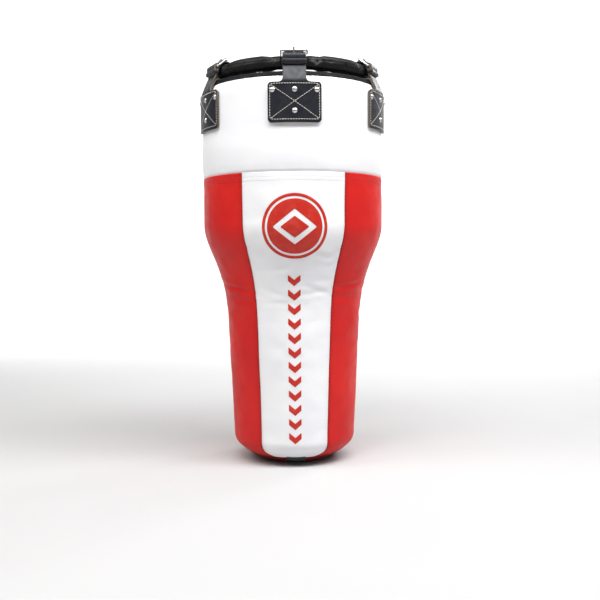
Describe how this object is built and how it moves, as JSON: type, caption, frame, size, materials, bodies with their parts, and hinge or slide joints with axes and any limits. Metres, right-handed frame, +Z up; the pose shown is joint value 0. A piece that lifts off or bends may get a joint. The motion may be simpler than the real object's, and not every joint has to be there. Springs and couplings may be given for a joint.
{
  "type": "heavy punching bag",
  "caption": "Stuffed, tapered heavy bag in a panelled cover, hung from a padded steel hoop by riveted leather straps with roller buckles.",
  "frame": {"origin": "centre of the flat base the bag stands on", "axes": "+Z up the bag towards its hoop, -Y towards the front panel with the emblem, +X to the right as seen from the front"},
  "size_m": [0.4499, 0.4513, 0.9717],
  "materials": {
    "red_cover": "smooth red vinyl, satin, softly creased",
    "white_cover": "smooth white vinyl, satin, softly creased",
    "dark_red_cover": "dark red vinyl, satin",
    "black_leather": "black leather, satin, navy tinge",
    "canvas": "plain black canvas",
    "foam": "open-cell foam sheet",
    "textile_fill": "packed textile offcuts",
    "steel_rod": "bare round bar",
    "buckle_steel": "nickel plated wire",
    "roller_steel": "nickel plated tube",
    "prong_steel": "darker steel wire",
    "rivet_steel": "nickel plated dome",
    "zip_fabric": "woven tape",
    "zip_plastic": "nylon coil",
    "zip_metal": "cast slider"
  },
  "bodies": {
    "bag": {"front_panel": "white_cover", "back_panel": "white_cover", "left_side_panel": "red_cover", "right_side_panel": "red_cover", "collar_panel": "white_cover", "base_panel": "dark_red_cover", "base_strap": "black_leather", "top_binding": "black_leather", "top_lid": "canvas", "foam_liner": "foam", "fill_core": "textile_fill", "hoop_rod": "steel_rod", "hoop_padding": "foam", "hoop_sleeve": "black_leather", "buckle_strap_front": "black_leather", "billet_strap_front": "black_leather", "keeper_front": "black_leather", "buckle_strap_right": "black_leather", "billet_strap_right": "black_leather", "keeper_right": "black_leather", "buckle_strap_rear_right": "black_leather", "billet_strap_rear_right": "black_leather", "keeper_rear_right": "black_leather", "buckle_strap_rear_left": "black_leather", "billet_strap_rear_left": "black_leather", "keeper_rear_left": "black_leather", "buckle_strap_left": "black_leather", "billet_strap_left": "black_leather", "keeper_left": "black_leather", "rivets": "rivet_steel", "rivet_washers": "rivet_steel", "zip_tape": "zip_fabric", "zip_coil": "zip_plastic"},
    "buckle_front": {"buckle_frame_front": "buckle_steel"},
    "roller_front": {"roller_front": "roller_steel"},
    "prong_front": {"prong_front": "prong_steel"},
    "buckle_right": {"buckle_frame_right": "buckle_steel"},
    "roller_right": {"roller_right": "roller_steel"},
    "prong_right": {"prong_right": "prong_steel"},
    "buckle_rear_right": {"buckle_frame_rear_right": "buckle_steel"},
    "roller_rear_right": {"roller_rear_right": "roller_steel"},
    "prong_rear_right": {"prong_rear_right": "prong_steel"},
    "buckle_rear_left": {"buckle_frame_rear_left": "buckle_steel"},
    "roller_rear_left": {"roller_rear_left": "roller_steel"},
    "prong_rear_left": {"prong_rear_left": "prong_steel"},
    "buckle_left": {"buckle_frame_left": "buckle_steel"},
    "roller_left": {"roller_left": "roller_steel"},
    "prong_left": {"prong_left": "prong_steel"},
    "zip_slider": {"zip_slider": "zip_metal"},
    "zip_pull": {"zip_pull": "zip_metal"}
  },
  "joints": [
    {"name": "buckle_hinge_front", "type": "hinge", "parent": "bag", "child": "buckle_front", "pos_m": [0.00534, -0.20393, 0.9465], "axis": [0.9997, 0.0262, 0], "range_deg": [0, 25]},
    {"name": "prong_hinge_front", "type": "hinge", "parent": "buckle_front", "child": "prong_front", "pos_m": [0.00534, -0.20393, 0.9465], "axis": [0.9997, 0.0262, 0], "range_deg": [0, 50]},
    {"name": "roller_spin_front", "type": "hinge", "parent": "buckle_front", "child": "roller_front", "pos_m": [0.00474, -0.18109, 0.96435], "axis": [0.9997, 0.0262, 0], "continuous": true},
    {"name": "buckle_hinge_right", "type": "hinge", "parent": "bag", "child": "buckle_right", "pos_m": [0.18915, -0.07642, 0.9465], "axis": [0.3746, 0.9272, 0], "range_deg": [0, 25]},
    {"name": "prong_hinge_right", "type": "hinge", "parent": "buckle_right", "child": "prong_right", "pos_m": [0.18915, -0.07642, 0.9465], "axis": [0.3746, 0.9272, 0], "range_deg": [0, 50]},
    {"name": "roller_spin_right", "type": "hinge", "parent": "buckle_right", "child": "roller_right", "pos_m": [0.16796, -0.06786, 0.96435], "axis": [0.3746, 0.9272, 0], "continuous": true},
    {"name": "buckle_hinge_rear_right", "type": "hinge", "parent": "bag", "child": "buckle_rear_right", "pos_m": [0.12077, 0.16441, 0.9465], "axis": [-0.8059, 0.592, 0], "range_deg": [0, 25]},
    {"name": "prong_hinge_rear_right", "type": "hinge", "parent": "buckle_rear_right", "child": "prong_rear_right", "pos_m": [0.12077, 0.16441, 0.9465], "axis": [-0.8059, 0.592, 0], "range_deg": [0, 50]},
    {"name": "roller_spin_rear_right", "type": "hinge", "parent": "buckle_rear_right", "child": "roller_rear_right", "pos_m": [0.10724, 0.14599, 0.96435], "axis": [-0.8059, 0.592, 0], "continuous": true},
    {"name": "buckle_hinge_rear_left", "type": "hinge", "parent": "bag", "child": "buckle_rear_left", "pos_m": [-0.12921, 0.15786, 0.9465], "axis": [-0.7738, -0.6334, 0], "range_deg": [0, 25]},
    {"name": "prong_hinge_rear_left", "type": "hinge", "parent": "buckle_rear_left", "child": "prong_rear_left", "pos_m": [-0.12921, 0.15786, 0.9465], "axis": [-0.7738, -0.6334, 0], "range_deg": [0, 50]},
    {"name": "roller_spin_rear_left", "type": "hinge", "parent": "buckle_rear_left", "child": "roller_rear_left", "pos_m": [-0.11474, 0.14018, 0.96435], "axis": [-0.7738, -0.6334, 0], "continuous": true},
    {"name": "buckle_hinge_left", "type": "hinge", "parent": "bag", "child": "buckle_left", "pos_m": [-0.18489, -0.08621, 0.9465], "axis": [0.4226, -0.9063, 0], "range_deg": [0, 25]},
    {"name": "prong_hinge_left", "type": "hinge", "parent": "buckle_left", "child": "prong_left", "pos_m": [-0.18489, -0.08621, 0.9465], "axis": [0.4226, -0.9063, 0], "range_deg": [0, 50]},
    {"name": "roller_spin_left", "type": "hinge", "parent": "buckle_left", "child": "roller_left", "pos_m": [-0.16418, -0.07656, 0.96435], "axis": [0.4226, -0.9063, 0], "continuous": true},
    {"name": "zip_slide", "type": "slide", "parent": "bag", "child": "zip_slider", "axis": [1, 0, 0], "range_m": [0, 0.25]},
    {"name": "zip_pull_hinge", "type": "hinge", "parent": "zip_slider", "child": "zip_pull", "pos_m": [-0.138, 0, 0.8945], "axis": [0, -1, 0], "range_deg": [0, 160]}
  ]
}
